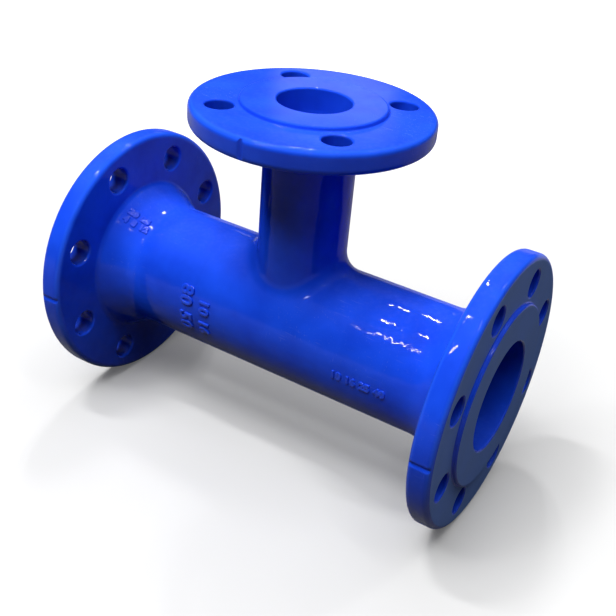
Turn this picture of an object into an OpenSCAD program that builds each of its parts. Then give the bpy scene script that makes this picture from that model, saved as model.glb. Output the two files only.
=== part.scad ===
// Reducing tee cast in ductile iron: a straight run with a smaller branch, flanged at all three ends.
// The run's centre line lies along X and the branch rises along Z; the two lines cross at the origin.

/* [Run] */
// Length between the two sealing faces of the run
run_length = 330; // [280:5:450]
// Bore of the run
run_bore = 80; // [72:1:90]
// Wall of the run's barrel
run_wall = 7.5; // [6:0.5:10]
// How far each hub stretches along the run behind its flange
run_hub_length = 23; // [18:1:34]
// How far each hub stands out from the barrel at its flange
run_hub_rise = 12; // [8:0.5:16]

/* [Run flanges] */
// Outer diameter of each run flange
run_flange_d = 200; // [190:1:220]
// Thickness of each run flange, with its raised face
run_flange_t = 20; // [16:0.5:26]
// Diameter of the raised face
run_face_d = 133; // [122:1:135]
// Diameter of the circle that the bolt holes lie on
run_bolt_circle = 160; // [158:1:166]
// Diameter of each bolt hole
run_bolt_hole = 19; // [15:0.5:21]
// Number of bolt holes in each run flange
run_bolts = 8; // [4:4:12]

/* [Branch] */
// Height of the branch's sealing face above the run's centre line
branch_height = 165; // [150:1:240]
// Bore of the branch
branch_bore = 50; // [40:1:56]
// Wall of the branch tube
branch_wall = 7; // [6:0.5:9]
// How far the hub stretches down the branch below its flange
branch_hub_length = 14; // [10:1:22]
// How far the hub stands out from the branch tube at its flange
branch_hub_rise = 7; // [4:0.5:9]

/* [Branch flange] */
// Outer diameter of the branch flange
branch_flange_d = 165; // [156:1:185]
// Thickness of the branch flange, with its raised face
branch_flange_t = 19; // [14:0.5:24]
// Diameter of the raised face
branch_face_d = 99; // [90:1:101]
// Diameter of the circle that the bolt holes lie on
branch_bolt_circle = 125; // [123:1:132]
// Diameter of each bolt hole
branch_bolt_hole = 19; // [14:0.5:21]
// Number of bolt holes in the branch flange
branch_bolts = 4; // [4:4:8]

/* [Casting] */
// Height of the raised faces above the bolting faces
face_rise = 3; // [1:0.5:4]
// Radius of the fillet where the branch grows out of the barrel
saddle_fillet = 16; // [8:1:24]
// Radius of the blend where a hub leaves its tube
hub_blend = 25; // [8:1:30]
// Radius of the fillet between a hub and the back of its flange
flange_fillet = 5; // [2:0.5:6]
// Radius on both edges of a flange's rim
rim_round = 3; // [1:0.5:5]
// Radius on the edge of a raised face
face_round = 1; // [0.5:0.25:1]
// Width of the centre-line notch across each rim
notch_width = 3; // [1:0.5:5]
// Depth of the centre-line notch in each rim
notch_depth = 1.2; // [0.5:0.1:2]

/* [Hidden] */
$fn = 96;
run_r = run_bore / 2 + run_wall;
branch_r = branch_bore / 2 + branch_wall;
// Sections round the saddle, and steps across its fillet
saddle_sections = 72;
saddle_steps = 9;
// How far the saddle starts above the skins of the tubes, and how far its root is buried in their walls
saddle_lift = 0.1;
saddle_root = 2;
// How far a corner web reaches into the metal behind it, and a cutter past the face that it leaves
overlap = 1;

// Unit vector from one point to another
function towards(a, b) = (b - a) / norm(b - a);

// From a corner to where its round begins, for unit directions u and v of the corner's two sides
function tangent_length(u, v, radius) = radius * sqrt((1 + u * v) / (1 - u * v));

// From a corner to the centre of its round
function to_centre(u, v, radius) = (u + v) * radius / sqrt(1 - pow(u * v, 2));

// Web of metal that fills an inside corner at p, hollowed to the given radius
module corner_web(p, u, v, radius) {
    reach = tangent_length(u, v, radius);
    difference() {
        polygon([p - overlap * (u + v) / norm(u + v), p + reach * u, p + reach * v]);
        translate(p + to_centre(u, v, radius)) circle(radius);
    }
}

// Half section of a flange, from the centre line to its rounded rim and raised face
module flange_section(face, thickness, flange_r, face_r) {
    back = face - thickness;
    ring = thickness - face_rise;
    translate([0, back]) square([flange_r - rim_round, ring]);
    translate([0, back + rim_round]) square([flange_r, ring - 2 * rim_round]);
    for (height = [back + rim_round, back + ring - rim_round])
        translate([flange_r - rim_round, height]) circle(rim_round);
    translate([0, back]) square([face_r - face_round, thickness]);
    translate([0, back]) square([face_r, thickness - face_round]);
    translate([face_r - face_round, face - face_round]) circle(face_round);
}

// Half section of the flared hub between a tube and the back of its flange
module hub_section(back, tube_r, hub_length, hub_rise) {
    foot = [tube_r, back - hub_length];
    top = [tube_r + hub_rise, back];
    polygon([[0, foot.y], foot, top, [top.x, back + overlap], [0, back + overlap]]);
    corner_web(foot, [0, -1], towards(foot, top), hub_blend);
    corner_web(top, towards(top, foot), [1, 0], flange_fillet);
}

// Half section of one flanged end of a tube, where face is the height of its sealing face
module flanged_end(face, tube_r, thickness, flange_r, face_r, hub_length, hub_rise) {
    square([tube_r, face - thickness]);
    hub_section(face - thickness, tube_r, hub_length, hub_rise);
    flange_section(face, thickness, flange_r, face_r);
}

// Half section of one end of the run
module run_end() {
    flanged_end(run_length / 2, run_r, run_flange_t, run_flange_d / 2, run_face_d / 2,
        run_hub_length, run_hub_rise);
}

// Solid run with both of its flanges, along X
module run_solid() {
    rotate([0, 90, 0]) rotate_extrude() {
        run_end();
        mirror([0, 1]) run_end();
    }
}

// Solid branch with its flange, up Z from the centre of the run
module branch_solid() {
    rotate_extrude()
        flanged_end(branch_height, branch_r, branch_flange_t, branch_flange_d / 2, branch_face_d / 2,
            branch_hub_length, branch_hub_rise);
}

// Point of the barrel's own form at a radius, straight above a point on a circle round the branch
function on_run(angle, circle_r, barrel_r) = [circle_r * cos(angle), circle_r * sin(angle),
    sqrt(pow(barrel_r, 2) - pow(circle_r * sin(angle), 2))];

// Centre of a ball that rolls round the branch and touches both the branch and the barrel
function ball_centre(angle) = on_run(angle, branch_r + saddle_fillet, run_r + saddle_fillet);

// One closed section of the saddle: the hollow arc that the ball leaves, then its root inside the walls
function saddle_section(angle) = let (
    centre = ball_centre(angle),
    to_branch = [-cos(angle), -sin(angle), 0],
    to_run = -[0, centre.y, centre.z] / (run_r + saddle_fillet),
    turn = acos(to_branch * to_run),
    arc_r = saddle_fillet - saddle_lift,
    root_r = saddle_fillet + saddle_root
) [
    centre + root_r * to_branch,
    for (step = [0 : saddle_steps]) let (part = step / saddle_steps)
        centre + arc_r * (sin(turn * (1 - part)) * to_branch + sin(turn * part) * to_run) / sin(turn),
    centre + root_r * to_run,
    on_run(angle, branch_r - saddle_root, run_r - saddle_root)
];

// Fillet all round the foot of the branch, as a ball rolled along the joint would leave it
module saddle() {
    ring = saddle_steps + 4;
    points = [for (i = [0 : saddle_sections - 1]) each saddle_section(360 * i / saddle_sections)];
    faces = [for (i = [0 : saddle_sections - 1], j = [0 : ring - 1]) let (
        next = (i + 1) % saddle_sections * ring,
        here = i * ring,
        up = (j + 1) % ring
    ) each [[here + j, next + j, next + up], [here + j, next + up, here + up]]];
    polyhedron(points, faces);
}

// Drills through a flange's ring, evenly spaced so that they straddle the centre lines
module bolt_holes(face, thickness, bolt_circle, hole, count) {
    for (i = [0 : count - 1])
        rotate([0, 0, (i + 0.5) * 360 / count])
            translate([bolt_circle / 2, 0, face - thickness - overlap])
                cylinder(h = thickness + 2 * overlap, d = hole);
}

// Round-bottomed notches across a rim, on both sides where the cross centre line meets it
module rim_notches(face, thickness, flange_r) {
    for (side = [-1, 1])
        translate([0, side * (flange_r + notch_width / 2 - notch_depth), face - thickness - overlap])
            cylinder(h = thickness + 2 * overlap, d = notch_width);
}

// Everything that is cut from one end of the run, with that end turned to face up
module run_end_cuts() {
    bolt_holes(run_length / 2, run_flange_t, run_bolt_circle, run_bolt_hole, run_bolts);
    rim_notches(run_length / 2, run_flange_t, run_flange_d / 2);
}

// The whole casting: run, branch and saddle in one piece, with both bores and every hole through it
module tee_casting() {
    color([0.07, 0.16, 0.82]) difference() {
        union() {
            run_solid();
            branch_solid();
            saddle();
        }
        rotate([0, 90, 0]) cylinder(h = run_length + 2 * overlap, d = run_bore, center = true);
        cylinder(h = branch_height + overlap, d = branch_bore);
        for (side = [-90, 90]) rotate([0, side, 0]) run_end_cuts();
        bolt_holes(branch_height, branch_flange_t, branch_bolt_circle, branch_bolt_hole, branch_bolts);
        rim_notches(branch_height, branch_flange_t, branch_flange_d / 2);
    }
}

tee_casting();
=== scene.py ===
"""Visual model of a flanged reducing tee: ductile iron under a thick coat of glossy blue epoxy.

The run lies along X, the branch rises along Z, and their centre lines cross at the origin.
Lengths are in metres.
"""

from __future__ import annotations

import logging
import math
from dataclasses import dataclass, field, replace
from enum import Enum
from functools import cached_property, reduce
from typing import Callable, Iterable, Sequence

import bmesh  # noqa: E402
import bpy  # noqa: E402
from mathutils import Matrix, Vector  # noqa: E402

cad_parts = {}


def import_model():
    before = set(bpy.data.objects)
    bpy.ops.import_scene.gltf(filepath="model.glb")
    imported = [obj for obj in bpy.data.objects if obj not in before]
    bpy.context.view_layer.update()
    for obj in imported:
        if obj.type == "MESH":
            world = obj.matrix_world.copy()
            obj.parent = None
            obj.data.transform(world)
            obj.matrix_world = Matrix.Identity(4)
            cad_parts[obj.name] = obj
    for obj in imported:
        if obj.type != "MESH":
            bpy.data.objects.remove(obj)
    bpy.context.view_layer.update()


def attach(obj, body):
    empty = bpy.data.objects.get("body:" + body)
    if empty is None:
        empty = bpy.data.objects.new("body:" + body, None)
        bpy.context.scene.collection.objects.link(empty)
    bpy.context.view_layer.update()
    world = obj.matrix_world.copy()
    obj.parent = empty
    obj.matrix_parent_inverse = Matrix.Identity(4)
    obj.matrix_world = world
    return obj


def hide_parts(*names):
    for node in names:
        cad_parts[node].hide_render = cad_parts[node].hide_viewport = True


LOG = logging.getLogger("reducing_tee")
MM = 0.001
MERGE_DISTANCE = 0.01 * MM

# Directions in the plane of a half section, where the first number is the radius
OUT = Vector((1, 0))
INWARD = Vector((-1, 0))
UP = Vector((0, 1))
DOWN = Vector((0, -1))

Point2 = tuple[float, float]
Range = tuple[float, float]
Colour = tuple[float, float, float, float]
Piece = bpy.types.Object
Socket = bpy.types.NodeSocket

WHITE: Colour = (1, 1, 1, 1)


class Axis(Enum):
    """Centre line that a part of the casting is turned about."""

    RUN = (1.0, 0.0, 0.0)
    BRANCH = (0.0, 0.0, 1.0)

    @property
    def letters(self) -> str:
        """Name the two directions across the centre line and then the one along it."""
        return "YZX" if self is Axis.RUN else "XYZ"


class Strength(Enum):
    """How much say a face has in the shading of the corners that it shares."""

    WEAK = "WEAK"
    STRONG = "STRONG"


class Reading(Enum):
    """Which way a row of figures reads on the run."""

    ROUND = "round the run"
    ALONG = "along the run"


def deselect_all() -> None:
    """Leave object mode with nothing selected."""
    if bpy.context.mode != "OBJECT":
        bpy.ops.object.mode_set(mode="OBJECT")
    bpy.ops.object.select_all(action="DESELECT")


def activate(piece: Piece) -> None:
    """Make one object the only selected one, and the active one."""
    deselect_all()
    piece.select_set(True)
    bpy.context.view_layer.objects.active = piece


def enter_edit(piece: Piece, mode: str = "VERT") -> bmesh.types.BMesh:
    """Open an object in edit mode with nothing selected.

    Args:
        piece: The mesh object to edit.
        mode: The select mode, VERT, EDGE or FACE.

    Returns:
        The mesh under edit.
    """
    activate(piece)
    bpy.ops.object.mode_set(mode="EDIT")
    bpy.ops.mesh.select_mode(type=mode)
    bpy.ops.mesh.select_all(action="DESELECT")
    return bmesh.from_edit_mesh(piece.data)


def leave_edit() -> None:
    """Close edit mode."""
    bpy.ops.object.mode_set(mode="OBJECT")


def close_mesh(piece: Piece) -> None:
    """Merge what coincides and turn every face outwards."""
    enter_edit(piece)
    bpy.ops.mesh.select_all(action="SELECT")
    bpy.ops.mesh.remove_doubles(threshold=MERGE_DISTANCE)
    bpy.ops.mesh.normals_make_consistent(inside=False)
    leave_edit()


def join(pieces: Sequence[Piece], name: str) -> Piece:
    """Join objects into the first of them.

    Args:
        pieces: The objects, of which the first stays.
        name: The name that the joined object gets.

    Returns:
        The joined object.
    """
    deselect_all()
    for piece in pieces:
        piece.select_set(True)
    bpy.context.view_layer.objects.active = pieces[0]
    bpy.ops.object.join()
    pieces[0].name = pieces[0].data.name = name
    return pieces[0]


def apply_modifier(piece: Piece, kind: str, **settings: object) -> None:
    """Add a modifier to an object and apply it at once.

    Args:
        piece: The object that gets it.
        kind: The modifier's type.
        **settings: Its settings by name.
    """
    activate(piece)
    modifier = piece.modifiers.new(kind.title(), kind)
    for key, value in settings.items():
        setattr(modifier, key, value)
    bpy.ops.object.modifier_apply(modifier=modifier.name)


def placed_copy(piece: Piece, matrix: Matrix) -> Piece:
    """Copy an object with its own mesh, with its new place in the mesh.

    Args:
        piece: The object to copy.
        matrix: Where the copy goes, from where the first one is.

    Returns:
        The copy, at the origin.
    """
    copy = bpy.data.objects.new(piece.name, piece.data.copy())
    bpy.context.collection.objects.link(copy)
    copy.data.transform(matrix)
    if matrix.determinant() < 0:
        copy.data.flip_normals()
    return copy


def drawn_chain(name: str, points: Sequence[Vector]) -> Piece:
    """Draw a chain of edges, by extruding one vertex from point to point.

    Args:
        name: The object's name.
        points: The chain's corners.

    Returns:
        An object that holds the open chain.
    """
    deselect_all()
    bpy.ops.mesh.primitive_plane_add(size=MM, location=(0, 0, 0))
    piece = bpy.context.object
    piece.name = piece.data.name = name
    enter_edit(piece)
    bpy.ops.mesh.select_all(action="SELECT")
    bpy.ops.mesh.merge(type="CENTER")
    mesh = bmesh.from_edit_mesh(piece.data)
    mesh.verts.ensure_lookup_table()
    mesh.verts[0].co = points[0]
    bmesh.update_edit_mesh(piece.data)
    for start, end in zip(points, points[1:]):
        bpy.ops.mesh.extrude_region_move(TRANSFORM_OT_translate={"value": end - start})
    leave_edit()
    return piece


def spun(name: str, points: Sequence[Vector], axis: Axis, steps: int) -> Piece:
    """Turn a chain of edges once round a centre line through the origin.

    Args:
        name: The object's name.
        points: The chain's corners, in a plane that holds the centre line.
        axis: The centre line.
        steps: Faces round the turn.

    Returns:
        The turned object.
    """
    piece = drawn_chain(name, points)
    enter_edit(piece)
    bpy.ops.mesh.select_all(action="SELECT")
    bpy.ops.mesh.spin(steps=steps, angle=math.tau, center=(0, 0, 0), axis=axis.value)
    leave_edit()
    close_mesh(piece)
    return piece


def rounded_corner(
    corner: Point2, before: Vector, after: Vector, radius: float, steps: int
) -> list[Point2]:
    """Round one corner of a half section.

    Args:
        corner: The sharp corner.
        before: Unit vector from the corner back along the side that comes before it.
        after: Unit vector from the corner along the side that comes after it.
        radius: The round's radius.
        steps: Chords along the round.

    Returns:
        The points of the round, with both of its ends.
    """
    cosine = before.dot(after)
    reach = radius * math.sqrt((1 + cosine) / (1 - cosine))
    point = Vector(corner)
    centre = point + (before + after) * radius / math.sqrt(1 - cosine**2)
    first = point + before * reach - centre
    last = point + after * reach - centre
    turn = first.angle(last)
    out = []
    for step in range(steps + 1):
        share = step / steps
        spoke = (first * math.sin(turn * (1 - share)) + last * math.sin(turn * share)) / math.sin(turn)
        out.append(tuple(centre + spoke))
    return out


def between(start: Point2, end: Point2, count: int) -> list[Point2]:
    """Space points evenly between two points of a half section, leaving both ends out."""
    gaps = count + 1
    return [tuple(a + (b - a) * i / gaps for a, b in zip(start, end)) for i in range(1, gaps)]


def unwound(turn: float) -> float:
    """Bring an angle into the half turn on each side of 0."""
    return (turn + math.pi) % math.tau - math.pi


@dataclass(frozen=True)
class CastRounds:
    """Radii that the mould and the coating leave on every edge of the casting."""

    hub_blend: float = 25 * MM
    flange_fillet: float = 5 * MM
    rim: float = 4.5 * MM
    face_edge: float = 1.6 * MM
    face_foot: float = 1.3 * MM
    bore_mouth: float = 1.4 * MM
    hole_lip: float = 1.7 * MM


@dataclass(frozen=True)
class Flange:
    """Sizes of one flange and of the ring of bolt holes through it."""

    axis: Axis
    face: float
    thickness: float
    radius: float
    face_r: float
    bolt_circle_r: float
    bolts: int
    hole_r: float = 9.5 * MM
    face_rise: float = 3 * MM

    @property
    def back(self) -> float:
        """Height of the flange's back."""
        return self.face - self.thickness

    @property
    def bolting_face(self) -> float:
        """Height of the face that the bolt holes open on."""
        return self.face - self.face_rise

    def end_of_line(self, side: int) -> Matrix:
        """Give the move that takes a shape from up Z to the flange.

        Args:
            side: 1 for the flange on the centre line's positive side, -1 for the one across from it.

        Returns:
            The move.
        """
        upright = Matrix.Identity(4) if self.axis is Axis.BRANCH else Matrix.Rotation(math.pi / 2, 4, "Y")
        mirror = Matrix.Scale(-1, 4, (1, 0, 0)) if side < 0 else Matrix.Identity(4)
        return mirror @ upright


RUN_FLANGE = Flange(
    Axis.RUN, face=165 * MM, thickness=20 * MM, radius=100 * MM, face_r=66.5 * MM,
    bolt_circle_r=80 * MM, bolts=8,
)
BRANCH_FLANGE = Flange(
    Axis.BRANCH, face=165 * MM, thickness=19 * MM, radius=82.5 * MM, face_r=49.5 * MM,
    bolt_circle_r=62.5 * MM, bolts=4,
)


@dataclass
class FlangedEnd:
    """One end of a tube: hub, flange with raised face, and the bore that runs in through it."""

    name: str
    flange: Flange
    tube_r: float
    bore_r: float
    hub_length: float
    hub_rise: float
    start: float
    steps: int
    rounds: CastRounds = field(default_factory=CastRounds)

    # Chords along the hub's rounds, the rim's, the bore mouth's and those of the raised face
    hub_steps: int = 8
    rim_steps: int = 7
    mouth_steps: int = 5
    face_steps: int = 4

    def hub(self) -> list[Point2]:
        """Walk the hub's flare as (radius, height), from the tube to the flange's back.

        Returns:
            The points.
        """
        foot = (self.tube_r, self.flange.back - self.hub_length)
        top = (self.tube_r + self.hub_rise, self.flange.back)
        up_hub = Vector((self.hub_rise, self.hub_length)).normalized()
        blend = rounded_corner(foot, DOWN, up_hub, self.rounds.hub_blend, self.hub_steps)
        fillet = rounded_corner(top, -up_hub, OUT, self.rounds.flange_fillet, self.hub_steps)
        return [*blend, *between(blend[-1], fillet[0], 3), *fillet]

    def half_section(self) -> list[Point2]:
        """Walk the half section as (radius, height), from the skin round the flange into the bore.

        Returns:
            The points.
        """
        rounds, flange, front = self.rounds, self.flange, self.flange.bolting_face
        skin, bore_start = (self.tube_r, self.start), (self.bore_r, self.start)
        hub = self.hub()
        rim_back = rounded_corner((flange.radius, flange.back), INWARD, UP, rounds.rim, self.rim_steps)
        rim_front = rounded_corner((flange.radius, front), DOWN, INWARD, rounds.rim, self.rim_steps)
        mouth = rounded_corner((self.bore_r, flange.face), OUT, DOWN, rounds.bore_mouth, self.mouth_steps)
        return [
            skin,
            *between(skin, hub[0], 6),
            *hub,
            *rim_back,
            *between(rim_back[-1], rim_front[0], 1),
            *rim_front,
            *rounded_corner((flange.face_r, front), OUT, UP, rounds.face_foot, self.face_steps),
            *rounded_corner((flange.face_r, flange.face), DOWN, INWARD, rounds.face_edge, self.face_steps),
            *mouth,
            *between(mouth[-1], bore_start, 8),
            bore_start,
        ]

    def build(self) -> Piece:
        """Turn the half section into the end's skin, open only where the tubes carry on.

        Returns:
            The end.
        """
        on_run = self.flange.axis is Axis.RUN
        points = [
            Vector((height, 0, radius) if on_run else (radius, 0, height))
            for radius, height in self.half_section()
        ]
        return spun(self.name, points, self.flange.axis, self.steps)


@dataclass
class TeeSkin:
    """One skin of the crossing: a barrel along X, a tube up Z, and the round that joins them.

    It starts as a flat sheet with a window in it. The sheet is wrapped on the barrel, and the
    window's edge is drawn up ring by ring into the tube, with each vertex held to its spoke.
    """

    SPOKE = "spoke"

    name: str
    barrel_r: float
    tube_r: float
    fillet: float
    top: float
    half_length: float = 60 * MM
    cells_round: int = 192
    window_round: int = 68
    window_along: int = 76
    margin: int = 2
    sheet_rings: int = 5
    fillet_rings: int = 14
    tube_rings: int = 6

    @property
    def spokes(self) -> int:
        """Vertices round the window, and so round the tube."""
        return 2 * (self.window_round + self.window_along)

    @property
    def cells_along(self) -> int:
        """Cells of the sheet along X."""
        return self.window_along + 2 * self.margin

    @property
    def skin_start(self) -> float:
        """How far along X the barrel's grid reaches."""
        return self.half_length * self.cells_along / self.window_along

    def cell(self, place: Vector) -> Point2:
        """Count the cells along and round from the window's low corner to a place on the sheet."""
        low_row = (self.cells_round - self.window_round) // 2
        along = (place.x + 1) / 2 * self.cells_along - self.margin
        return along, (place.y + 1) / 2 * self.cells_round - low_row

    def on_barrel(self, x: float, angle: float) -> Vector:
        """Wrap a point of the sheet on the barrel, with the angle measured from straight up."""
        return Vector((x, self.barrel_r * math.sin(angle), self.barrel_r * math.cos(angle)))

    def ball_centre(self, turn: float) -> Vector:
        """Place the centre of a ball that rolls round the joint and touches both skins."""
        reach, height = self.tube_r + self.fillet, self.barrel_r + self.fillet
        side = reach * math.sin(turn)
        return Vector((reach * math.cos(turn), side, math.sqrt(height**2 - side**2)))

    def sheet_ring(self, edge: Point2, turn: float, share: float) -> Vector:
        """Place a point between the window's edge and the line where the ball touches the barrel.

        Args:
            edge: Place along the barrel and angle round it of the window's edge on this spoke.
            turn: The spoke's angle round the branch.
            share: 0 at the window's edge, 1 at the line.

        Returns:
            The point.
        """
        reach, height = self.tube_r + self.fillet, self.barrel_r + self.fillet
        touch = (reach * math.cos(turn), math.asin(reach * math.sin(turn) / height))
        return self.on_barrel(*(a + (b - a) * share for a, b in zip(edge, touch)))

    def fillet_ring(self, turn: float, share: float) -> Vector:
        """Place a point on the round.

        Args:
            turn: The spoke's angle round the branch.
            share: 0 on the barrel, 1 on the tube.

        Returns:
            The point.
        """
        centre = self.ball_centre(turn)
        to_tube = Vector((-math.cos(turn), -math.sin(turn), 0))
        to_barrel = -Vector((0, centre.y, centre.z)) / (self.barrel_r + self.fillet)
        bend = to_tube.angle(to_barrel)
        spoke = to_barrel * math.sin(bend * (1 - share)) + to_tube * math.sin(bend * share)
        return centre + spoke * self.fillet / math.sin(bend)

    def tube_ring(self, turn: float, share: float) -> Vector:
        """Place a point on the tube, from the round at share 0 to the level top at share 1."""
        low = self.ball_centre(turn).z
        height = low + (self.top - low) * share
        return Vector((self.tube_r * math.cos(turn), self.tube_r * math.sin(turn), height))

    def spoke_of(self, column: int, row: int) -> int:
        """Number the window's corners from the +X side's middle, anticlockwise seen from above.

        Args:
            column: Cells along X from the window's low side.
            row: Cells round the barrel from the window's low side.

        Returns:
            The spoke's number.
        """
        across, along = self.window_round, self.window_along
        if column == along:
            walked = row
        elif row == across:
            walked = across + (along - column)
        elif column == 0:
            walked = across + along + (across - row)
        else:
            walked = 2 * across + along + column
        return (walked - across // 2) % self.spokes

    def open_sheet(self) -> Piece:
        """Model the flat sheet and cut its window.

        Returns:
            The sheet, in edit mode.
        """
        deselect_all()
        bpy.ops.mesh.primitive_grid_add(
            x_subdivisions=self.cells_along, y_subdivisions=self.cells_round, size=2.0, location=(0, 0, 0)
        )
        piece = bpy.context.object
        piece.name = piece.data.name = self.name
        mesh = enter_edit(piece, "FACE")
        for face in mesh.faces:
            column, row = self.cell(face.calc_center_median())
            face.select_set(0 < column < self.window_along and 0 < row < self.window_round)
        bmesh.update_edit_mesh(piece.data)
        bpy.ops.mesh.delete(type="FACE")
        return piece

    def wrap(self, piece: Piece) -> dict[int, Point2]:
        """Wrap the sheet on the barrel, number its window's corners and select the window's edges.

        Args:
            piece: The sheet, in edit mode.

        Returns:
            The place along the barrel and the angle round it of each corner, by its spoke.
        """
        bpy.ops.mesh.select_mode(type="EDGE")
        mesh = bmesh.from_edit_mesh(piece.data)
        spoke = mesh.verts.layers.int.new(self.SPOKE)
        window: dict[int, Point2] = {}
        rim = set()
        for vertex in mesh.verts:
            column, row = (round(count) for count in self.cell(vertex.co))
            x, angle = vertex.co.x * self.skin_start, vertex.co.y * math.pi
            if 0 <= column <= self.window_along and 0 <= row <= self.window_round:
                number = self.spoke_of(column, row)
                vertex[spoke] = number
                window[number] = (x, angle)
                rim.add(vertex)
            vertex.co = self.on_barrel(x, angle)
        for edge in mesh.edges:
            edge.select_set(edge.is_boundary and edge.verts[0] in rim and edge.verts[1] in rim)
        bmesh.update_edit_mesh(piece.data)
        return window

    def draw_up(self, piece: Piece, window: dict[int, Point2]) -> None:
        """Extrude the window's edge ring by ring, along the barrel, over the round and up the tube.

        Args:
            piece: The wrapped sheet, in edit mode, with the window's edges selected.
            window: The window's corners, by spoke.
        """
        step = math.tau / self.spokes
        stages: tuple[tuple[int, Callable[[int, float], Vector]], ...] = (
            (self.sheet_rings, lambda n, share: self.sheet_ring(window[n], unwound(n * step), share)),
            (self.fillet_rings, lambda n, share: self.fillet_ring(n * step, share)),
            (self.tube_rings, lambda n, share: self.tube_ring(n * step, share)),
        )
        for rings, place in stages:
            for ring in range(1, rings + 1):
                bpy.ops.mesh.extrude_edges_move()
                mesh = bmesh.from_edit_mesh(piece.data)
                spoke = mesh.verts.layers.int[self.SPOKE]
                for vertex in mesh.verts:
                    if vertex.select:
                        vertex.co = place(vertex[spoke], ring / rings)
                bmesh.update_edit_mesh(piece.data)
        mesh.verts.layers.int.remove(mesh.verts.layers.int[self.SPOKE])
        bmesh.update_edit_mesh(piece.data)

    def build(self) -> Piece:
        """Model the skin.

        Returns:
            The skin, open at the barrel's ends and at the tube's top.
        """
        piece = self.open_sheet()
        self.draw_up(piece, self.wrap(piece))
        leave_edit()
        close_mesh(piece)
        return piece


@dataclass
class BoltHoles:
    """Cutters for one flange's bolt holes, each flared where the coated lip rolls into the hole."""

    flange: Flange
    side: int
    overshoot: float = 4 * MM
    lip_steps: int = 5
    faces_round: int = 64
    rounds: CastRounds = field(default_factory=CastRounds)

    def half_section(self) -> list[Vector]:
        """Walk the cutter's half section, from the centre line out, along and back to it.

        Returns:
            The points.
        """
        hole_r, lip = self.flange.hole_r, self.rounds.hole_lip
        back, front = self.flange.back, self.flange.bolting_face
        walk = [
            (0.0, back - self.overshoot),
            (hole_r + lip, back - self.overshoot),
            *rounded_corner((hole_r, back), OUT, UP, lip, self.lip_steps),
            *rounded_corner((hole_r, front), DOWN, OUT, lip, self.lip_steps),
            (hole_r + lip, front + self.overshoot),
            (0.0, front + self.overshoot),
        ]
        return [Vector((radius, 0, height)) for radius, height in walk]

    def build(self) -> list[Piece]:
        """Model one cutter and copy it to every hole of the flange.

        Returns:
            The cutters.
        """
        first = spun("bolt_cutter", self.half_section(), Axis.BRANCH, self.faces_round)
        place = self.flange.end_of_line(self.side)
        shift = Matrix.Translation((self.flange.bolt_circle_r, 0, 0))
        copies = []
        for i in range(self.flange.bolts):
            turn = Matrix.Rotation((i + 0.5) * math.tau / self.flange.bolts, 4, "Z")
            copies.append(placed_copy(first, place @ turn @ shift))
        bpy.data.objects.remove(first)
        return copies


@dataclass
class RimNotches:
    """Cutters for the soft centre-line notches across a flange's rim, one on each side."""

    flange: Flange
    side: int
    depth: float = 1.6 * MM
    spread: float = 1.45 * MM
    half_width: float = 3.3 * MM
    clearance: float = 0.03 * MM
    overshoot: float = 4 * MM
    points: int = 26

    def outline(self) -> list[Vector]:
        """Walk the cutter's end: the notch's soft bell along the rim, closed outside it.

        Returns:
            The points.
        """
        walk = []
        for i in range(self.points + 1):
            across = self.half_width * (2 * i / self.points - 1)
            bite = self.depth * math.exp(-((across / self.spread) ** 2)) - self.clearance
            walk.append((across, math.sqrt(self.flange.radius**2 - across**2) - bite))
        outside = self.flange.radius + self.overshoot
        walk += [(self.half_width, outside), (-self.half_width, outside)]
        return [Vector((across, radius, self.flange.back - self.overshoot)) for across, radius in walk]

    def build(self) -> list[Piece]:
        """Model one cutter by filling and extruding its end, and copy it to both sides of the rim.

        Returns:
            The cutters.
        """
        walk = self.outline()
        first = drawn_chain("notch_cutter", walk + walk[:1])
        close_mesh(first)
        enter_edit(first)
        bpy.ops.mesh.select_all(action="SELECT")
        bpy.ops.mesh.edge_face_add()
        height = self.flange.bolting_face - self.flange.back + 2 * self.overshoot
        bpy.ops.mesh.extrude_region_move(TRANSFORM_OT_translate={"value": (0, 0, height)})
        leave_edit()
        close_mesh(first)
        place = self.flange.end_of_line(self.side)
        copies = [placed_copy(first, place @ Matrix.Rotation(turn, 4, "Z")) for turn in (0.0, math.pi)]
        bpy.data.objects.remove(first)
        return copies


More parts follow.
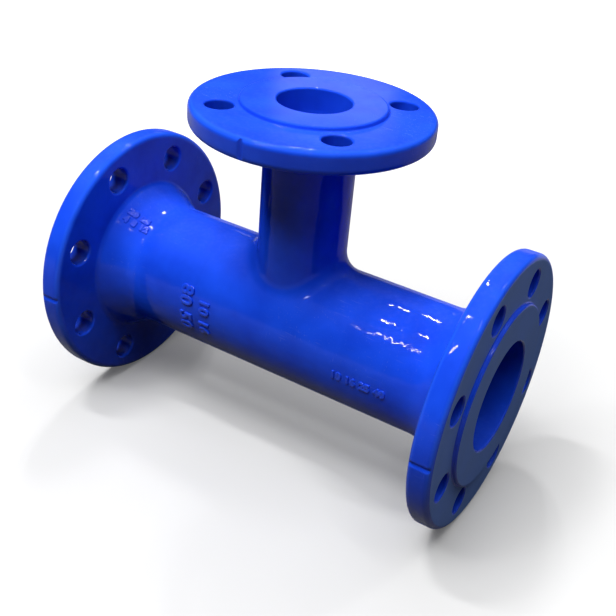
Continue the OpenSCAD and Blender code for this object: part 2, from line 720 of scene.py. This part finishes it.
@dataclass
class Casting:
    """The tee's one casting: three flanged ends, and the inner and outer skins of the crossing."""

    run_r: float = 47.5 * MM
    run_bore_r: float = 40 * MM
    run_hub_length: float = 23 * MM
    run_hub_rise: float = 12 * MM
    branch_r: float = 32 * MM
    branch_bore_r: float = 25 * MM
    branch_hub_length: float = 14 * MM
    branch_hub_rise: float = 7 * MM
    tube_top: float = 100 * MM
    saddle: float = 16 * MM
    inner_round: float = 4 * MM
    flat_normal: float = 0.9999

    def skins(self) -> tuple[TeeSkin, TeeSkin]:
        """Describe the outer and the inner skin of the crossing."""
        return (
            TeeSkin("outer_skin", self.run_r, self.branch_r, self.saddle, self.tube_top),
            TeeSkin("inner_skin", self.run_bore_r, self.branch_bore_r, self.inner_round, self.tube_top),
        )

    def ends(self) -> tuple[FlangedEnd, FlangedEnd]:
        """Describe the ends.

        Returns:
            The run's end, which serves for both sides, and the branch's end.
        """
        outer = self.skins()[0]
        run = FlangedEnd(
            "run_end", RUN_FLANGE, self.run_r, self.run_bore_r,
            self.run_hub_length, self.run_hub_rise, outer.skin_start, outer.cells_round,
        )
        branch = FlangedEnd(
            "branch_end", BRANCH_FLANGE, self.branch_r, self.branch_bore_r,
            self.branch_hub_length, self.branch_hub_rise, self.tube_top, outer.spokes,
        )
        return run, branch

    def cutters(self) -> Piece:
        """Model every cutter for the bolt holes and the notches as one object.

        Returns:
            The cutters.
        """
        pieces: list[Piece] = []
        for flange, side in ((RUN_FLANGE, 1), (RUN_FLANGE, -1), (BRANCH_FLANGE, 1)):
            pieces += BoltHoles(flange, side).build()
            pieces += RimNotches(flange, side).build()
        return join(pieces, "cutters")

    def build(self) -> Piece:
        """Join the skins and ends into one closed casting and cut its holes and notches.

        Returns:
            The casting.
        """
        run, branch = self.ends()
        right = run.build()
        left = placed_copy(right, Matrix.Scale(-1, 4, (1, 0, 0)))
        pieces = [right, left, branch.build(), *(skin.build() for skin in self.skins())]
        casting = join(pieces, "coated_casting")
        close_mesh(casting)
        cutters = self.cutters()
        apply_modifier(casting, "BOOLEAN", object=cutters, operation="DIFFERENCE", solver="MANIFOLD")
        bpy.data.objects.remove(cutters)
        close_mesh(casting)
        self.shade(casting)
        return casting

    def is_flat(self, face: bmesh.types.BMFace) -> bool:
        """Tell whether a face lies on one of the flanges' flat faces.

        Args:
            face: The face.

        Returns:
            Whether it does.
        """
        centre, normal = face.calc_center_median(), face.normal
        for flange, height, along in (
            (RUN_FLANGE, abs(centre.x), abs(normal.x)),
            (BRANCH_FLANGE, centre.z, abs(normal.z)),
        ):
            levels = (flange.back, flange.bolting_face, flange.face)
            near = min(abs(height - level) for level in levels) < MERGE_DISTANCE
            if along > self.flat_normal and near:
                return True
        return False

    def shade(self, casting: Piece) -> None:
        """Shade the casting smooth, with the flat faces ruling the corners that they share.

        Args:
            casting: The casting.
        """
        for strength in Strength:
            mesh = enter_edit(casting, "FACE")
            for face in mesh.faces:
                face.select_set(self.is_flat(face) == (strength is Strength.STRONG))
            bmesh.update_edit_mesh(casting.data)
            bpy.ops.mesh.mod_weighted_strength(set=True, face_strength=strength.value)
            leave_edit()
        activate(casting)
        bpy.ops.object.shade_smooth()
        apply_modifier(casting, "WEIGHTED_NORMAL", mode="FACE_AREA", weight=50, use_face_influence=True)


@dataclass(frozen=True)
class CastFigures:
    """A row of plain raised figures on the skin of the run, softened by the sand and the coat."""

    text: str
    height: float
    x: float
    turn: float
    reading: Reading
    relief: float
    sunk: float = 0.6 * MM
    edge: float = 0.45 * MM
    stoutness: float = 0.25 * MM
    spacing: float = 1.12
    voxel: float = 0.33 * MM
    cap_share: float = 0.69

    def flat(self) -> Piece:
        """Model the figures flat, from raised outlines that are melted into one rounded skin.

        Returns:
            The figures.
        """
        deselect_all()
        bpy.ops.object.text_add(location=(0, 0, 0))
        letters = bpy.context.object
        letters.data.body = self.text
        letters.data.size = self.height / self.cap_share
        letters.data.align_x = "CENTER"
        letters.data.align_y = "CENTER"
        letters.data.space_character = self.spacing
        letters.data.offset = self.stoutness
        letters.data.extrude = (self.relief + self.sunk) / 2 - self.edge
        letters.data.bevel_depth = self.edge
        letters.data.bevel_resolution = 2
        activate(letters)
        bpy.ops.object.convert(target="MESH")
        letters = bpy.context.object
        apply_modifier(letters, "REMESH", mode="VOXEL", voxel_size=self.voxel)
        apply_modifier(letters, "SMOOTH", factor=0.5, iterations=4)
        return letters

    def build(self, skin: Callable[[float], float]) -> Piece:
        """Wrap the figures round the run.

        Args:
            skin: Gives the radius of the run's skin at a place along it.

        Returns:
            The figures, part sunk into the skin.
        """
        letters = self.flat()
        rise = (self.relief - self.sunk) / 2
        middle_r = skin(self.x)
        reads_round = self.reading is Reading.ROUND
        for vertex in letters.data.vertices:
            u, v, w = vertex.co
            x = self.x + (v if reads_round else u)
            turn = math.radians(self.turn) + (u if reads_round else -v) / middle_r
            radius = skin(x) + rise + w
            vertex.co = (x, -radius * math.sin(turn), radius * math.cos(turn))
        close_mesh(letters)
        activate(letters)
        bpy.ops.object.shade_smooth()
        return letters


@dataclass
class CastMarks:
    """All the raised figures on the casting."""

    rows: tuple[CastFigures, ...] = (
        CastFigures("80 50", 10 * MM, -68 * MM, 88, Reading.ROUND, 1.3 * MM),
        CastFigures("10 16", 8 * MM, -51.5 * MM, 91, Reading.ROUND, 1.3 * MM),
        CastFigures("10 16 25 40", 5.4 * MM, 80 * MM, 92, Reading.ALONG, 1.0 * MM),
        CastFigures("20 25", 4.6 * MM, -131 * MM, 28, Reading.ALONG, 0.8 * MM),
        CastFigures("4 8 12", 4.6 * MM, -130 * MM, 35.5, Reading.ALONG, 0.8 * MM),
    )

    def build(self, end: FlangedEnd) -> Piece:
        """Model every row and join them.

        Args:
            end: The run's end, whose section gives the skin's radius along the hub.

        Returns:
            The joined figures.
        """
        walk = [(end.tube_r, end.start), *end.hub()[1:]]

        def skin(x: float) -> float:
            """Read the skin's radius from the section of the tube and the hub."""
            for (low_r, low), (high_r, high) in zip(walk, walk[1:]):
                if low <= abs(x) <= high:
                    return low_r + (high_r - low_r) * (abs(x) - low) / max(high - low, MERGE_DISTANCE)
            return end.tube_r

        return join([row.build(skin) for row in self.rows], "cast_figures")


class NodeSheet:
    """Adds nodes to one node tree and joins them."""

    # Places of the colour sockets of a Mix node
    COLOUR_A = 6
    COLOUR_B = 7
    COLOUR_OUT = 2

    def __init__(self, tree: bpy.types.NodeTree) -> None:
        """Hold the tree."""
        self.tree = tree

    @cached_property
    def place(self) -> Socket:
        """Place on the piece, in its own coordinates."""
        return self.add("ShaderNodeTexCoord").outputs["Object"]

    @cached_property
    def facing(self) -> bpy.types.NodeOutputs:
        """X, Y and Z of the way that the surface faces."""
        return self.split(self.add("ShaderNodeNewGeometry").outputs["Normal"])

    @cached_property
    def rays(self) -> bpy.types.NodeOutputs:
        """Kinds of ray that light is worked out for."""
        return self.add("ShaderNodeLightPath").outputs

    def add(self, kind: str, settings: dict[str, object] | None = None, **inputs: object) -> bpy.types.Node:
        """Add one node.

        Args:
            kind: The node's type.
            settings: Properties of the node by name.
            **inputs: Sockets by name, with spaces as underscores: a value, or the output that feeds it.

        Returns:
            The node.
        """
        node = self.tree.nodes.new(kind)
        for key, value in (settings or {}).items():
            setattr(node, key, value)
        for key, value in inputs.items():
            self.feed(node.inputs[key.replace("_", " ")], value)
        return node

    def feed(self, socket: Socket, value: object) -> None:
        """Give a socket a value, or link it to an output."""
        if isinstance(value, bpy.types.NodeSocket):
            self.tree.links.new(value, socket)
        else:
            socket.default_value = value

    def operate(self, kind: str, operation: str, values: Sequence[object]) -> bpy.types.Node:
        """Add a node that works something out.

        Args:
            kind: The node's type.
            operation: What it does.
            values: What it does it to.

        Returns:
            The node.
        """
        node = self.add(kind, {"operation": operation})
        for socket, value in zip(node.inputs, values):
            self.feed(socket, value)
        return node

    def math(self, operation: str, *values: object) -> Socket:
        """Work out one number from one or two others."""
        return self.operate("ShaderNodeMath", operation, values).outputs[0]

    def fold(self, operation: str, *values: object) -> Socket:
        """Work out one number from any count of others, two at a time."""
        return reduce(lambda first, second: self.math(operation, first, second), values)

    def hypotenuse(self, first: Socket, second: Socket) -> Socket:
        """Work out the distance that two numbers at right angles make."""
        squares = (self.math("MULTIPLY", number, number) for number in (first, second))
        return self.math("SQRT", self.math("ADD", *squares))

    def dot(self, first: object, second: object) -> Socket:
        """Work out how far one vector goes along another."""
        return self.operate("ShaderNodeVectorMath", "DOT_PRODUCT", (first, second)).outputs["Value"]

    def split(self, vector: Socket) -> bpy.types.NodeOutputs:
        """Split a vector into X, Y and Z."""
        return self.add("ShaderNodeSeparateXYZ", Vector=vector).outputs

    def ramp(
        self, value: object, low: float, high: float, to_low: float = 0.0, to_high: float = 1.0,
        smooth: bool = True,
    ) -> Socket:
        """Map a range of a value to another, held at both ends.

        Args:
            value: The value.
            low: Where its range starts.
            high: Where its range ends.
            to_low: What the start becomes.
            to_high: What the end becomes.
            smooth: Whether it eases in and out.

        Returns:
            The mapped value.
        """
        node = self.add(
            "ShaderNodeMapRange", {"interpolation_type": "SMOOTHSTEP" if smooth else "LINEAR"},
            Value=value, From_Min=low, From_Max=high, To_Min=to_low, To_Max=to_high,
        )
        return node.outputs["Result"]

    def mix(self, share: object, first: object, second: object) -> Socket:
        """Mix two colours.

        Args:
            share: How much of the second colour shows.
            first: The first colour.
            second: The second colour.

        Returns:
            The mixed colour.
        """
        node = self.add("ShaderNodeMix", {"data_type": "RGBA"}, Factor=share)
        self.feed(node.inputs[self.COLOUR_A], first)
        self.feed(node.inputs[self.COLOUR_B], second)
        return node.outputs[self.COLOUR_OUT]


def new_finish(name: str) -> tuple[bpy.types.Material, NodeSheet, bpy.types.NodeInputs]:
    """Start a node material.

    Args:
        name: The material's name.

    Returns:
        The material, its sheet, and the inputs of its shader.
    """
    material = bpy.data.materials.new(name)
    material.use_nodes = True
    return material, NodeSheet(material.node_tree), material.node_tree.nodes["Principled BSDF"].inputs


@dataclass(frozen=True)
class Blotches:
    """How a kind of blotch spreads: its width, its finer layers, and the noise that becomes 0 and 1."""

    size: float
    detail: float = 2.0
    low: float = 0.0
    high: float = 1.0


class SharedEffects:
    """Node groups that more than one material uses, each built once."""

    MOTTLE = "mottle"

    @classmethod
    def mottle(cls) -> bpy.types.NodeTree:
        """Give the group that spreads soft blotches over a surface.

        Returns:
            The group: Size is a blotch's width in metres, Low and High set what turns to 0 and 1.
        """
        if cls.MOTTLE in bpy.data.node_groups:
            return bpy.data.node_groups[cls.MOTTLE]
        group = bpy.data.node_groups.new(cls.MOTTLE, "ShaderNodeTree")
        face = group.interface
        face.new_socket("Vector", in_out="INPUT", socket_type="NodeSocketVector")
        for name, value in (("Size", 0.01), ("Detail", 2.0), ("Low", 0.0), ("High", 1.0)):
            socket = face.new_socket(name, in_out="INPUT", socket_type="NodeSocketFloat")
            socket.default_value = value
        face.new_socket("Value", in_out="OUTPUT", socket_type="NodeSocketFloat")
        sheet = NodeSheet(group)
        source = group.nodes.new("NodeGroupInput").outputs
        scale = sheet.math("DIVIDE", 1.0, source["Size"])
        noise = sheet.add("ShaderNodeTexNoise", Vector=source["Vector"], Scale=scale, Detail=source["Detail"])
        value = sheet.ramp(noise.outputs["Fac"], source["Low"], source["High"], smooth=False)
        sheet.feed(group.nodes.new("NodeGroupOutput").inputs["Value"], value)
        return group

    @classmethod
    def spread(cls, sheet: NodeSheet, blotches: Blotches, vector: Socket | None = None) -> Socket:
        """Spread blotches in a material.

        Args:
            sheet: The material's sheet.
            blotches: How they spread.
            vector: The output that gives the place, where it isn't the plain place on the piece.

        Returns:
            Their value, from 0 to 1.
        """
        node = sheet.add(
            "ShaderNodeGroup", {"node_tree": cls.mottle()},
            Vector=sheet.place if vector is None else vector,
            Size=blotches.size, Detail=blotches.detail, Low=blotches.low, High=blotches.high,
        )
        return node.outputs["Value"]


@dataclass(frozen=True)
class Spot:
    """A place measured from a centre line: distance, angle round it, and distance along it."""

    across: Socket
    angle: Socket
    along: Socket


@dataclass(frozen=True)
class EpoxyFinish:
    """Glossy blue epoxy, sprayed thick over sand-cast iron."""

    name: str = "blue_epoxy"
    deep: Colour = (0.006, 0.052, 0.66, 1.0)
    thin: Colour = (0.010, 0.077, 0.83, 1.0)
    # Paler blue on the rims' rounded edges: thinner coat, and partly a painted highlight
    edge: Colour = (0.022, 0.130, 0.92, 1.0)
    # Pale haze for scuffs and dust, also laid evenly on upward faces as a painted sheen
    haze: Colour = (0.10, 0.17, 0.80, 1.0)
    # Dark blue on the bolt hole walls: painted shade
    painted_hole_shade: Colour = (0.003, 0.022, 0.32, 1.0)
    # Paler grey-blue on the run flanges' turned faces: painted reflection of the pale floor
    painted_floor_reflection: Colour = (0.28, 0.46, 0.75, 1.0)
    gloss: float = 0.015
    dulled: float = 0.035
    specular: float = 0.16
    refraction: float = 1.5

    # Spread of the coat's thickness, of its duller clouds, of dust, of scuffs and of where scuffs gather
    coat: Blotches = Blotches(32 * MM, 3.0, 0.32, 0.68)
    clouds: Blotches = Blotches(45 * MM, 3.0, 0.35, 0.65)
    dust: Blotches = Blotches(3 * MM, 4.0, 0.45, 0.7)
    hairs: Blotches = Blotches(14 * MM, 2.0, 0.66, 0.74)
    rubs: Blotches = Blotches(60 * MM, 2.0, 0.5, 0.62)
    hair_turns: tuple[tuple[float, tuple[float, float, float]], ...] = (
        (0.6, (1.0, 14.0, 14.0)),
        (-0.9, (16.0, 16.0, 1.6)),
    )
    hair_tilt: float = 0.4
    scuff_haze: float = 0.35
    scuff_dullness: float = 0.25

    # How level a surface is where dust settles and a painted sheen is laid on, and how much they show
    upward: Range = (0.6, 1.0)
    dust_haze: float = 0.08
    dust_dullness: float = 0.08
    painted_sheen: float = 0.05

    # How far the view slants where the gloss gives way, and by how much
    slant: Range = (0.72, 0.97)
    grazing_dullness: float = 0.45

    # Turned faces: from just under the bolting face, where the surface is this flat
    face_margin: float = 0.5 * MM
    flat: Range = (0.93, 0.995)
    run_face_dullness: float = 0.55
    branch_face_dullness: float = 0.08
    # How much of the painted floor reflection the run flanges' turned faces take
    painted_reflection_share: float = 0.55

    # Rims: how wide their rounded edges are, and which tilts belong to them
    edge_band: float = 5.5 * MM
    edge_blur: float = 2 * MM
    edge_rises: Range = (0.2, 0.6)
    edge_falls: Range = (0.85, 0.99)
    # How much paler the rim edges get: thinner coat and partly painted highlight
    edge_thinning_and_highlight: float = 0.35

    # Bolt holes: their walls lie at this distance from their centre lines
    hole_wall: Range = (9.2 * MM, 10.0 * MM)
    hole_shade: float = 0.6
    hole_dullness: float = 0.04
    behind_flange: float = 1.5 * MM

    # Relief: the sand's waves and grain, which turning takes off past the flange's back, and the peel
    waves: Blotches = Blotches(17 * MM, 2.0)
    wave_height: float = 0.45 * MM
    grain: Blotches = Blotches(4.5 * MM, 1.0)
    grain_height: float = 0.028 * MM
    peel: Blotches = Blotches(1.5 * MM, 0.0)
    peel_height: float = 0.005 * MM
    turned: Range = (1.5 * MM, 4.0 * MM)
    turned_smoothness: float = 0.88

    def relief(self, sheet: NodeSheet) -> Socket:
        """Bump the skin with the sand's waves and grain, damped where it was turned, and with the peel.

        Args:
            sheet: The material's sheet.

        Returns:
            The bumped normal.
        """
        part = sheet.split(sheet.place)
        past_run = sheet.math("SUBTRACT", sheet.math("ABSOLUTE", part["X"]), RUN_FLANGE.back)
        past_branch = sheet.math("SUBTRACT", part["Z"], BRANCH_FLANGE.back)
        turned = sheet.ramp(sheet.math("MAXIMUM", past_run, past_branch), *self.turned)
        cast = sheet.ramp(turned, 0.0, 1.0, 1.0, 1.0 - self.turned_smoothness, smooth=False)
        sand = [
            (sheet.math("MULTIPLY", SharedEffects.spread(sheet, blotches), cast), height)
            for blotches, height in ((self.waves, self.wave_height), (self.grain, self.grain_height))
        ]
        normal: dict[str, Socket] = {}
        for value, height in (*sand, (SharedEffects.spread(sheet, self.peel), self.peel_height)):
            bump = sheet.add("ShaderNodeBump", Height=value, Distance=height, Strength=1.0, **normal)
            normal = {"Normal": bump.outputs["Normal"]}
        return normal["Normal"]

    def turned_faces(self, sheet: NodeSheet) -> Socket:
        """Give the extra dullness of the flanges' turned faces, which hold a thinner coat.

        Args:
            sheet: The material's sheet.

        Returns:
            The dullness.
        """
        where = sheet.split(sheet.place)
        shares = []
        for flange, dullness in (
            (RUN_FLANGE, self.run_face_dullness), (BRANCH_FLANGE, self.branch_face_dullness)
        ):
            along = flange.axis.letters[2]
            level = flange.bolting_face - self.face_margin
            outside = sheet.math("GREATER_THAN", sheet.math("ABSOLUTE", where[along]), level)
            flat = sheet.ramp(sheet.math("ABSOLUTE", sheet.facing[along]), *self.flat)
            shares.append(sheet.fold("MULTIPLY", outside, flat, dullness))
        return sheet.fold("MAXIMUM", *shares)

    def around(self, sheet: NodeSheet, axis: Axis) -> Spot:
        """Measure the place on the piece from a centre line.

        Args:
            sheet: The material's sheet.
            axis: The centre line.

        Returns:
            The place as measured.
        """
        part = sheet.split(sheet.place)
        first, second, along = (part[letter] for letter in axis.letters)
        angle = sheet.math("ARCTAN2", second, first)
        return Spot(sheet.hypotenuse(first, second), angle, sheet.math("ABSOLUTE", along))

    def on_flange(self, sheet: NodeSheet, spot: Spot, flange: Flange) -> Socket:
        """Tell whether a place is as far out as a flange."""
        return sheet.math("GREATER_THAN", spot.along, flange.back - self.behind_flange)

    def rim_edges(self, sheet: NodeSheet) -> Socket:
        """Mask the rounded edges of the rims, where the coat is thinner and a paler colour also stands in
        part for a painted highlight.

        Args:
            sheet: The material's sheet.

        Returns:
            The mask.
        """
        masks = []
        for flange in (RUN_FLANGE, BRANCH_FLANGE):
            spot = self.around(sheet, flange.axis)
            inner = flange.radius - self.edge_band
            outside = sheet.ramp(spot.across, inner, inner + self.edge_blur)
            tilt = sheet.math("ABSOLUTE", sheet.facing[flange.axis.letters[2]])
            band = sheet.math(
                "SUBTRACT", sheet.ramp(tilt, *self.edge_rises), sheet.ramp(tilt, *self.edge_falls)
            )
            masks.append(sheet.fold("MULTIPLY", outside, self.on_flange(sheet, spot, flange), band))
        return sheet.fold("MAXIMUM", *masks)

    def inside_holes(self, sheet: NodeSheet) -> Socket:
        """Mask the walls of the bolt holes, which get painted shade and a duller gloss.

        Args:
            sheet: The material's sheet.

        Returns:
            The mask.
        """
        masks = []
        for flange in (RUN_FLANGE, BRANCH_FLANGE):
            spot = self.around(sheet, flange.axis)
            pitch = math.tau / flange.bolts
            turn = sheet.math("SUBTRACT", sheet.math("FLOORED_MODULO", spot.angle, pitch), pitch / 2)
            aside = sheet.math("MULTIPLY", turn, spot.across)
            out = sheet.math("SUBTRACT", spot.across, flange.bolt_circle_r)
            inside = sheet.ramp(sheet.hypotenuse(aside, out), *self.hole_wall, 1.0, 0.0)
            masks.append(sheet.math("MULTIPLY", inside, self.on_flange(sheet, spot, flange)))
        return sheet.fold("MAXIMUM", *masks)

    def scuffs(self, sheet: NodeSheet) -> Socket:
        """Mask the fine rubs that handling leaves, as short hairs in two directions.

        Args:
            sheet: The material's sheet.

        Returns:
            The mask.
        """
        masks = []
        for turn, stretch in self.hair_turns:
            lie = sheet.add(
                "ShaderNodeMapping", Vector=sheet.place, Rotation=(turn, self.hair_tilt, turn), Scale=stretch
            )
            masks.append(SharedEffects.spread(sheet, self.hairs, lie.outputs["Vector"]))
        where = SharedEffects.spread(sheet, self.rubs)
        return sheet.math("MULTIPLY", sheet.fold("MAXIMUM", *masks), where)

    def material(self) -> bpy.types.Material:
        """Make the finish as a node material.

        Returns:
            The material.
        """
        material, sheet, shader = new_finish(self.name)
        scuffs = self.scuffs(sheet)
        upward = sheet.ramp(sheet.facing["Z"], *self.upward)
        dust = sheet.math("MULTIPLY", upward, SharedEffects.spread(sheet, self.dust))
        # Dust blotches are real dust; the even pale film on every upward face is a painted sheen
        dust_and_sheen_shares = ((dust, self.dust_haze), (upward, self.painted_sheen))
        dust_and_sheen = sheet.math("ADD", *(sheet.math("MULTIPLY", *pair) for pair in dust_and_sheen_shares))
        holes = self.inside_holes(sheet)
        turned = self.turned_faces(sheet)

        colour = sheet.mix(SharedEffects.spread(sheet, self.coat), self.deep, self.thin)
        for share, over in (
            (sheet.math("MULTIPLY", scuffs, self.scuff_haze), self.haze),
            # Dust, plus the painted sheen on upward faces
            (dust_and_sheen, self.haze),
            # Rim edges paler: thinner coat, and partly a painted highlight
            (sheet.math("MULTIPLY", self.rim_edges(sheet), self.edge_thinning_and_highlight), self.edge),
            # Painted shade darkens the walls of the bolt holes
            (sheet.math("MULTIPLY", holes, self.hole_shade), self.painted_hole_shade),
            # Painted reflection: the run flanges' turned faces take a paler grey-blue, as if mirroring the
            # floor
            (
                sheet.ramp(turned, self.branch_face_dullness, self.run_face_dullness, 0.0, self.painted_reflection_share),
                self.painted_floor_reflection,
            ),
        ):
            colour = sheet.mix(share, colour, over)
        sheet.feed(shader["Base Color"], colour)

        clouds = SharedEffects.spread(sheet, self.clouds)
        slant = sheet.add("ShaderNodeLayerWeight", Blend=0.5).outputs["Facing"]
        rough = sheet.fold(
            "ADD",
            sheet.ramp(clouds, 0.0, 1.0, self.gloss, self.dulled, smooth=False),
            sheet.math("MULTIPLY", scuffs, self.scuff_dullness),
            sheet.math("MULTIPLY", dust, self.dust_dullness),
            sheet.math("MAXIMUM", turned, sheet.math("MULTIPLY", holes, self.hole_dullness)),
            sheet.ramp(slant, *self.slant, 0.0, self.grazing_dullness),
        )
        sheet.feed(shader["Roughness"], rough)
        sheet.feed(shader["Normal"], self.relief(sheet))
        shader["IOR"].default_value = self.refraction
        shader["Specular IOR Level"].default_value = self.specular
        return material


CAST_COAT = EpoxyFinish()
# The coat stands thicker and duller on the raised figures, and catches more light
FIGURE_COAT = EpoxyFinish(name="blue_epoxy_on_figures", gloss=0.10, dulled=0.18, specular=0.4)


@dataclass(frozen=True)
class FloorFinish:
    """Matt pale floor: white to the camera, weaker in reflections, and nearly dark to bounced light."""

    name: str = "pale_floor"
    seen: float = 0.56
    unevenness: float = 0.01
    patches: Blotches = Blotches(0.3)
    bounced: float = 0.03
    near_glow: float = 0.1
    far_glow: float = 0.98
    glow_reach: Range = (0.2, 1.2)
    mirrored: float = 0.30

    def material(self) -> bpy.types.Material:
        """Make the finish as a node material.

        Returns:
            The material.
        """
        material, sheet, shader = new_finish(self.name)
        mirrored = sheet.math("MULTIPLY", sheet.rays["Is Glossy Ray"], self.mirrored)
        seen = sheet.fold(
            "MAXIMUM", sheet.rays["Is Camera Ray"], sheet.rays["Is Transmission Ray"], mirrored
        )
        low, high = self.seen * (1 - self.unevenness), self.seen * (1 + self.unevenness)
        pale = sheet.ramp(SharedEffects.spread(sheet, self.patches), 0.0, 1.0, low, high, smooth=False)
        level = sheet.add("ShaderNodeMix", {"data_type": "FLOAT"}, Factor=seen, A=self.bounced, B=pale)
        sheet.feed(shader["Base Color"], level.outputs["Result"])
        distance = sheet.operate("ShaderNodeVectorMath", "LENGTH", (sheet.place,)).outputs["Value"]
        glow = sheet.ramp(distance, *self.glow_reach, self.near_glow, self.far_glow)
        sheet.feed(shader["Emission Strength"], sheet.math("MULTIPLY", glow, seen))
        shader["Emission Color"].default_value = WHITE
        shader["Roughness"].default_value = 1.0
        shader["Specular IOR Level"].default_value = 0.0
        return material


@dataclass(frozen=True)
class Lamp:
    """A long lamp or a soft panel overhead, placed by its offsets for each metre of height."""

    name: str
    aside: float
    back: float
    power: float
    width: float
    length: float
    mirrored: bool = True

    def hang(self, height: float) -> None:
        """Hang the lamp, turned towards the tee.

        Args:
            height: Its height above the tee's centre.
        """
        deselect_all()
        place = Vector((self.aside, self.back, 1.0)) * height
        turn = place.to_track_quat("Z", "Y").to_euler()
        bpy.ops.object.light_add(type="AREA", location=place, rotation=turn)
        lamp = bpy.context.object
        lamp.name = self.name
        lamp.data.shape = "RECTANGLE"
        lamp.data.size, lamp.data.size_y = self.width, self.length
        lamp.data.energy = self.power
        lamp.visible_glossy = self.mirrored


@dataclass
class Studio:
    """Pale floor, overhead lamps and the camera that took the photograph."""

    floor_level: float = -100 * MM
    floor_size: float = 60.0
    camera_place: tuple[float, float, float] = (0.30040086, -0.50433309, 0.35955986)
    camera_turn: tuple[float, float, float] = (57.44132221, -5.04059016, 31.71463029)
    lens: float = 53.54094884
    sensor: float = 36.0
    shift: Point2 = (-0.0296512614, 0.0391871157)
    clip_start: float = 0.01

    # Rows of lamps, each with its offset and its share of the power, in each column of the hall
    lamp_height: float = 2.6
    rows: tuple[Point2, ...] = ((0.54, 1.0), (-0.16, 1.15), (-0.70, 0.5))
    columns: tuple[Lamp, ...] = (
        Lamp("left", -0.405, 0.0, 11.0, 0.05, 0.45),
        Lamp("near_left", -0.32, 0.0, 10.0, 0.05, 0.45),
        Lamp("right", 0.42, 0.0, 7.5, 0.025, 1.0),
    )
    panels: tuple[Lamp, ...] = (
        Lamp("soft_top", 0.0, -0.05, 49.0, 2.0, 3.4, mirrored=False),
        Lamp("soft_front", -0.14, -0.50, 50.0, 1.5, 1.3, mirrored=False),
    )

    # The dim room, its paler horizon, its ceiling as the coat mirrors it, and a soft card behind the tee
    surroundings: float = 0.02
    horizon: float = 0.09
    horizon_top: float = 0.16
    ceiling: float = 0.35
    ceiling_reach: Range = (0.3, 0.9)
    card: float = 0.8
    card_aim: tuple[float, float, float] = (-0.47, 0.83, 0.305)
    card_half_width: float = 0.062
    card_half_height: float = 0.034
    card_blur: float = 0.012

    def camera(self) -> None:
        """Stand the camera where it was when the photograph was taken."""
        deselect_all()
        bpy.ops.object.camera_add(
            location=self.camera_place, rotation=tuple(math.radians(angle) for angle in self.camera_turn)
        )
        camera = bpy.context.object
        camera.name = "photo_camera"
        camera.data.lens = self.lens
        camera.data.sensor_width = self.sensor
        camera.data.sensor_fit = "HORIZONTAL"
        camera.data.shift_x, camera.data.shift_y = self.shift
        camera.data.clip_start = self.clip_start
        bpy.context.scene.camera = camera

    def floor(self) -> None:
        """Lay the pale floor just under the flanges that the tee stands on."""
        deselect_all()
        bpy.ops.mesh.primitive_plane_add(size=self.floor_size, location=(0, 0, self.floor_level))
        floor = bpy.context.object
        floor.name = "studio_floor"
        floor.data.materials.append(FloorFinish().material())

    def lamps(self) -> None:
        """Hang every lamp of the columns, and the soft panels."""
        for column in self.columns:
            for number, (back, share) in enumerate(self.rows):
                name = f"{column.name}_{number}"
                replace(column, name=name, back=back, power=column.power * share).hang(self.lamp_height)
        for panel in self.panels:
            panel.hang(self.lamp_height)

    def card_light(self, sheet: NodeSheet, way: Socket, height: Socket) -> Socket:
        """Give the light of the soft card behind the tee.

        Args:
            sheet: The world's sheet.
            way: The direction that is looked in.
            height: How steeply that is upwards.

        Returns:
            The light.
        """
        aim = Vector(self.card_aim).normalized()
        aside = Vector((aim.y, -aim.x, 0.0)).normalized()
        light = sheet.math("MULTIPLY", sheet.math("GREATER_THAN", sheet.dot(way, tuple(aim)), 0.0), self.card)
        for reach, half in (
            (sheet.dot(way, tuple(aside)), self.card_half_width),
            (sheet.math("SUBTRACT", height, aim.z), self.card_half_height),
        ):
            low, high = half - self.card_blur, half + self.card_blur
            share = sheet.ramp(sheet.math("ABSOLUTE", reach), low, high, 1.0, 0.0)
            light = sheet.math("MULTIPLY", light, share)
        return light

    def surround(self) -> None:
        """Surround the tee with a dim room that is white to the camera."""
        world = bpy.data.worlds.new("dim_room")
        bpy.context.scene.world = world
        world.use_nodes = True
        sheet = NodeSheet(world.node_tree)
        way = sheet.operate(
            "ShaderNodeVectorMath", "NORMALIZE", (sheet.add("ShaderNodeTexCoord").outputs["Generated"],)
        ).outputs[0]
        height = sheet.split(way)["Z"]
        room = sheet.ramp(height, 0.0, self.horizon_top, self.horizon, self.surroundings)
        ceiling = sheet.ramp(height, *self.ceiling_reach, 0.0, self.ceiling)
        level = sheet.fold(
            "MAXIMUM",
            sheet.math("ADD", room, self.card_light(sheet, way, height)),
            sheet.math("MULTIPLY", ceiling, sheet.rays["Is Glossy Ray"]),
            sheet.rays["Is Camera Ray"],
            sheet.rays["Is Transmission Ray"],
        )
        background = world.node_tree.nodes["Background"]
        background.inputs["Color"].default_value = WHITE
        sheet.feed(background.inputs["Strength"], level)

    def build(self) -> None:
        """Set up the whole studio."""
        bpy.context.scene.view_settings.view_transform = "Standard"
        self.camera()
        self.floor()
        self.lamps()
        self.surround()


def dress(piece: Piece, finish: EpoxyFinish) -> None:
    """Give a piece its finish and its place in the frame, and report it.

    Args:
        piece: The piece.
        finish: Its finish.
    """
    piece.data.materials.clear()
    piece.data.materials.append(finish.material())
    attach(piece, "root")
    LOG.info("%s: %d vertices, %d faces", piece.name, len(piece.data.vertices), len(piece.data.polygons))


def main() -> None:
    """Load the frame, light it, and build and dress the tee."""
    logging.basicConfig(level=logging.INFO, format="%(name)s: %(message)s")
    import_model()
    Studio().build()
    tee = Casting()
    casting = tee.build()
    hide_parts("tee_casting")
    dress(casting, CAST_COAT)
    dress(CastMarks().build(tee.ends()[0]), FIGURE_COAT)


if __name__ == "__main__":
    main()
